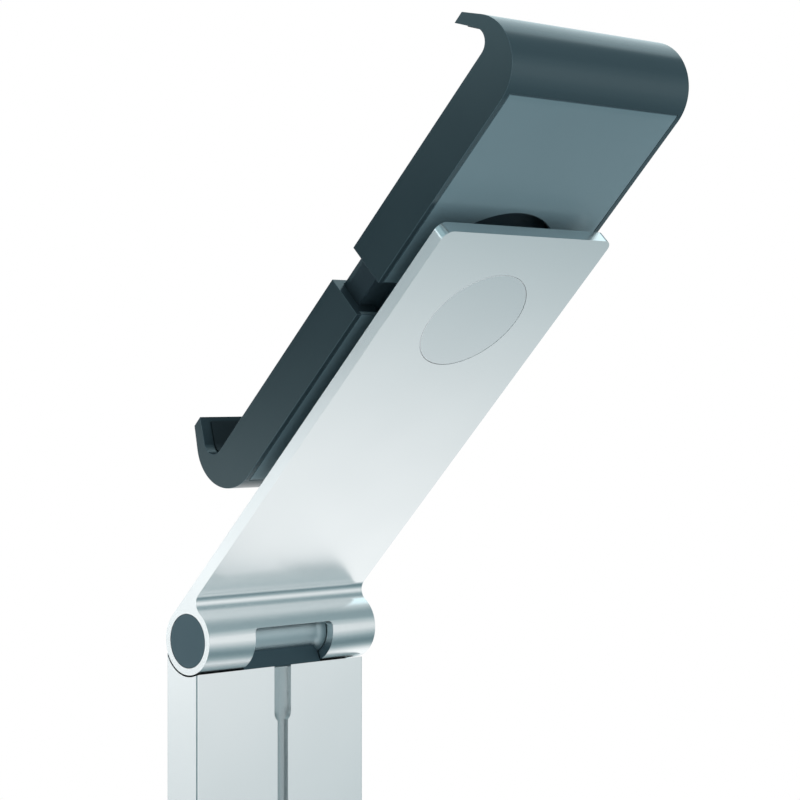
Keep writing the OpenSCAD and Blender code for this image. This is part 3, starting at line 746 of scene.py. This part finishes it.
@dataclass
class Surroundings:
    """What glossy surfaces see of the studio, by direction from the clamp.

    A curve is a row of places with the level at each. A span is where a soft step begins and ends. Heights
    are in degrees above the horizon. The X part of a direction grows to the left of the photograph and its
    Y part to the back of the stand, where the camera is.

    Attributes:
        eye: Where the directions start, for the floor.
        back: Brightness of the back half, over heights.
        sides: What multiplies the back half, over the X part.
        front: Brightness of the front half, over heights.
        left: What multiplies the left of the front half, over heights.
        left_edge: Span over the X part in which that left begins.
        right_edge: Span over the X part in which the dim right of the front half ends.
        right_rise: Span over heights in which it begins.
        right_level: What multiplies it.
        front_middle: Span over the X part, either way, in which the middle of the front half ends.
        middle_level: What multiplies that middle.
        stripe: Span over the X part in which the dark stripe at the far left begins.
        stripe_level: What multiplies that stripe.
        front_cast: Share of red, green and blue that the upper front half lacks.
        cast_from: Span over heights in which that begins.
        turn_down: Span over the Y part in which front turns to back, below the horizon.
        turn_up: The same, above the horizon.
        contrast: Powers that red, green and blue below full brightness are raised to, for bluish shade.
    """

    eye: Point = (0.0, 0.0, 1.05)
    back: Curve = (
        (-75, 1.1),
        (-62, 0.95),
        (-52, 0.36),
        (-36, 0.26),
        (-27, 0.4),
        (-16, 0.68),
        (-5, 1.0),
        (4, 0.98),
        (14, 0.7),
        (24, 0.42),
        (38, 0.4),
        (48, 0.8),
        (58, 0.35),
        (70, 0.3),
    )
    sides: Curve = (
        (-1, 0.5),
        (-0.86, 0.5),
        (-0.76, 0.75),
        (-0.6, 1.12),
        (-0.1, 1.05),
        (0.2, 1.1),
        (0.45, 1.35),
        (0.65, 0.5),
        (1, 0.5),
    )
    front: Curve = (
        (-60, 1.1),
        (-44, 1.2),
        (-26, 0.95),
        (-12, 0.9),
        (0, 1.18),
        (20, 1.4),
        (44, 1.5),
        (58, 0.4),
    )
    left: Curve = (
        (-14, 0.92),
        (-8, 0.96),
        (-5, 1.3),
        (-2.2, 1.95),
        (-1.2, 0.3),
        (1, 0.16),
        (5, 0.13),
        (7.8, 0.08),
        (8.8, 1.6),
        (11, 1.6),
        (16, 0.4),
        (60, 0.4),
    )
    left_edge: Span = (0.3, 0.6)
    right_edge: Span = (-0.85, -0.77)
    right_rise: Span = (-8.0, 2.0)
    right_level: float = 0.1
    front_middle: Span = (0.35, 0.62)
    middle_level: float = 0.84
    stripe: Span = (0.86, 0.96)
    stripe_level: float = 0.3
    front_cast: Color = (0.2, 0.04, 0.0)
    cast_from: Span = (4.0, 16.0)
    turn_down: Span = (-0.15, 0.36)
    turn_up: Span = (0.0, 0.12)
    contrast: Color = (1.38, 1.07, 1.0)

    def backness(self, tree: Tree, depth: Socket, up: Socket) -> Socket:
        """Adds the nodes that say how far a direction points to the back.

        Args:
            tree: The node tree to add them to.
            depth: The direction's Y part.
            up: The direction's Z part.

        Returns:
            0 for the front half and 1 for the back half.
        """
        rising = tree.calc("GREATER_THAN", up, 0.0)
        start, stop = (
            tree.calc("MULTIPLY_ADD", rising, above - below, below)
            for below, above in zip(self.turn_down, self.turn_up)
        )
        return tree.step(depth, start, stop, 0.0, 1.0)

    def front_seen(self, tree: Tree, across: Socket, rise: Socket) -> Socket:
        """Adds the nodes of the front half.

        Args:
            tree: The node tree to add them to.
            across: The direction's X part.
            rise: The direction's height.

        Returns:
            The brightness.
        """
        outward = tree.calc("ABSOLUTE", across)
        middle = tree.step(outward, *self.front_middle, self.middle_level, 1.0)
        leftward = tree.step(across, *self.left_edge, 0.0, 1.0)
        loss = tree.calc("SUBTRACT", 1.0, tree.curve(rise, self.left))
        left = tree.calc("SUBTRACT", 1.0, tree.calc("MULTIPLY", leftward, loss))
        rightward = tree.step(across, *self.right_edge, self.right_level - 1, 0.0)
        upward = tree.step(rise, *self.right_rise, 0.0, 1.0)
        right = tree.calc("MULTIPLY_ADD", rightward, upward, 1.0)
        seen = tree.curve(rise, self.front)
        for factor in (middle, left, right):
            seen = tree.calc("MULTIPLY", seen, factor)
        return seen

    def level(self, tree: Tree, way: Socket) -> Socket:
        """Adds the nodes that turn a direction into the colour seen there.

        Args:
            tree: The node tree to add them to.
            way: The direction, of any length.

        Returns:
            The colour.
        """
        across, depth, up = tree.parts(way)
        rise = tree.calc("DEGREES", tree.calc("ARCSINE", up))
        behind = self.backness(tree, depth, up)
        ahead = tree.calc("SUBTRACT", 1.0, behind)
        back = tree.calc("MULTIPLY", tree.curve(rise, self.back), tree.curve(across, self.sides))
        front = self.front_seen(tree, across, rise)
        cool = tree.calc("MULTIPLY", tree.step(rise, *self.cast_from, 0.0, 1.0), ahead)
        both = tree.calc("ADD", tree.calc("MULTIPLY", back, behind), tree.calc("MULTIPLY", front, ahead))
        seen = tree.calc("MULTIPLY", both, tree.step(across, *self.stripe, 1.0, self.stripe_level))
        dim = tree.calc("MINIMUM", seen, 1.0)
        color = tree.node("ShaderNodeCombineColor")
        for target, power, cast in zip(color.inputs, self.contrast, self.front_cast):
            tone = tree.calc("MULTIPLY", seen, tree.calc("POWER", dim, power - 1))
            share = tree.calc("MULTIPLY_ADD", cool, -cast, 1.0)
            tree.put(target, tree.calc("MULTIPLY", tone, share))
        return color.outputs[0]


@dataclass
class Studio:
    """Floor, surroundings and lamps.

    Attributes:
        floor_radius: Radius of the round floor.
        floor_corners: Number of its corners.
        floor_tone: Its colour.
        floor_drift: Share by which its colour varies.
        floor_patch: Width of one patch of colour.
        floor_roughness: How blurred its reflections are.
        floor_fade: Distances from the stand between which it turns to plain white.
        world_tone: Colour of the light from all around.
        dim_side: Span over the X part of a direction in which that light fades out.
        dim_level: What is left of it there.
        surroundings: What glossy surfaces see.
        lamps: The lamps.
    """

    floor_radius: float = 9.0
    floor_corners: int = 96
    floor_tone: Color = (0.8, 0.83, 0.84)
    floor_drift: float = 0.02
    floor_patch: float = 0.4
    floor_roughness: float = 0.8
    floor_fade: Span = (1.6, 4.2)
    world_tone: Color = (0.74, 0.79, 0.815)
    dim_side: Span = (-0.1, 0.9)
    dim_level: float = 0.05
    surroundings: Surroundings = field(default_factory=Surroundings)
    lamps: tuple[Softbox, ...] = (
        Softbox("overhead", (-1.6, -0.6, 3.4), 2.2, 1.4),
        Softbox("high_back", (-0.3, 2.2, 2.4), 1.2, 2.2, aim=(0.0, 0.2, 1.2)),
    )

    def build(self) -> None:
        """Builds the floor, the world and the lamps."""
        deselect()
        self.build_floor()
        self.build_world()
        for lamp in self.lamps:
            lamp.build()

    def build_floor(self) -> None:
        """Adds the pale floor."""
        bpy.ops.mesh.primitive_circle_add(
            vertices=self.floor_corners, radius=self.floor_radius, fill_type="NGON"
        )
        floor = bpy.context.object
        floor.name = "studio_floor"
        floor.data.materials.append(self.floor_material())
        log.info("floor")

    def floor_material(self) -> bpy.types.Material:
        """Builds the floor's material, which fades to white and hides the floor from reflections.

        Returns:
            The material. The camera sees it fade to plain white, and reflections show the surroundings.
        """
        graph = Graph("pale_floor")
        dark = shaded(self.floor_tone, -self.floor_drift)
        color = graph.tint(graph.noise(self.floor_patch), dark, self.floor_tone)
        graph.feed(graph.shader, Base_Color=color, Roughness=self.floor_roughness)
        length = graph.feed_row(graph.node("ShaderNodeVectorMath", operation="LENGTH"), graph.place)
        far = graph.step(length.outputs["Value"], *self.floor_fade, 0.0, 1.0)
        path = graph.node("ShaderNodeLightPath")
        faded = graph.calc("MULTIPLY", far, path.outputs["Is Camera Ray"])
        near = graph.either(faded, graph.shader.outputs[0], graph.emission(WHITE))
        start = graph.node("ShaderNodeVectorMath", operation="SUBTRACT")
        way = graph.feed_row(start, graph.place, self.surroundings.eye).outputs["Vector"]
        mirrored = graph.emission(self.surroundings.level(graph, way))
        both = graph.either(path.outputs["Is Glossy Ray"], near, mirrored)
        graph.feed(graph.tree.nodes["Material Output"], Surface=both)
        return graph.material

    def build_world(self) -> None:
        """Sets surroundings that light softly, are mirrored as set, and look plain white."""
        world = bpy.data.worlds.new("studio")
        bpy.context.scene.world = world
        world.use_nodes = True
        tree = Tree(world.node_tree)
        path = tree.node("ShaderNodeLightPath")
        way = tree.node("ShaderNodeTexCoord").outputs["Generated"]
        across = tree.parts(way)[0]
        diffuse = tree.feed_row(tree.node("ShaderNodeVectorMath", operation="SCALE"), self.world_tone)
        tree.feed(diffuse, Scale=tree.step(across, *self.dim_side, 1.0, self.dim_level))
        color = diffuse.outputs["Vector"]
        for test, seen in (
            ("Is Glossy Ray", self.surroundings.level(tree, way)),
            ("Is Transmission Ray", WHITE),
            ("Is Camera Ray", WHITE),
        ):
            color = tree.mix(path.outputs[test], color, seen)
        tree.feed(world.node_tree.nodes["Background"], Color=color)
        log.info("surroundings")


@dataclass
class PhotoCamera:
    """The camera of the photograph, worked out from the stand's own straight edges.

    Attributes:
        place: Where it stands.
        azimuth: Which way it looks, in degrees.
        focal: Its focal length, in pixels of the photograph.
        horizon: The pixel row of the horizon.
        picture: Width of the photograph, in pixels.
        sensor: Width of the sensor, in Blender's millimetres.
        nearest: The nearest distance that it shows.
    """

    place: Point = (0.5219, 0.5943, 1.0858)
    azimuth: float = 135.57
    focal: float = 2313.56
    horizon: float = 381.19
    picture: float = 800.0
    sensor: float = 36.0
    nearest: float = 50 * MM

    def build(self) -> None:
        """Adds the camera and makes it the scene's own."""
        turn = math.radians(self.azimuth)
        ahead = Vector((-math.sin(turn), math.cos(turn), 0.0))
        bpy.ops.object.camera_add(location=self.place)
        camera = bpy.context.object
        camera.name = "photo_camera"
        camera.rotation_euler = ahead.to_track_quat("-Z", "Y").to_euler()
        camera.data.sensor_width = self.sensor
        camera.data.lens = self.focal / self.picture * self.sensor
        camera.data.shift_y = (self.horizon - self.picture / 2) / self.picture
        camera.data.clip_start = self.nearest
        bpy.context.scene.camera = camera
        log.info("camera")


def main() -> None:
    """Builds the camera, every sub-assembly and the studio."""
    logging.basicConfig(level=logging.INFO, format="%(message)s")
    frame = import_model()
    bpy.context.scene.view_settings.view_transform = "Standard"
    PhotoCamera().build()
    groups: list[SubAssembly] = [kind(frame) for kind in (Foot, Post, TiltHinge, SwingArm, Swivel, Clamp)]
    groups += [Jaw(frame, side) for side in Side]
    for group in groups:
        group.build()
        group.dress()
        log.info("finished %s", type(group).__name__)
    Studio().build()
    deselect()


if __name__ == "__main__":
    main()
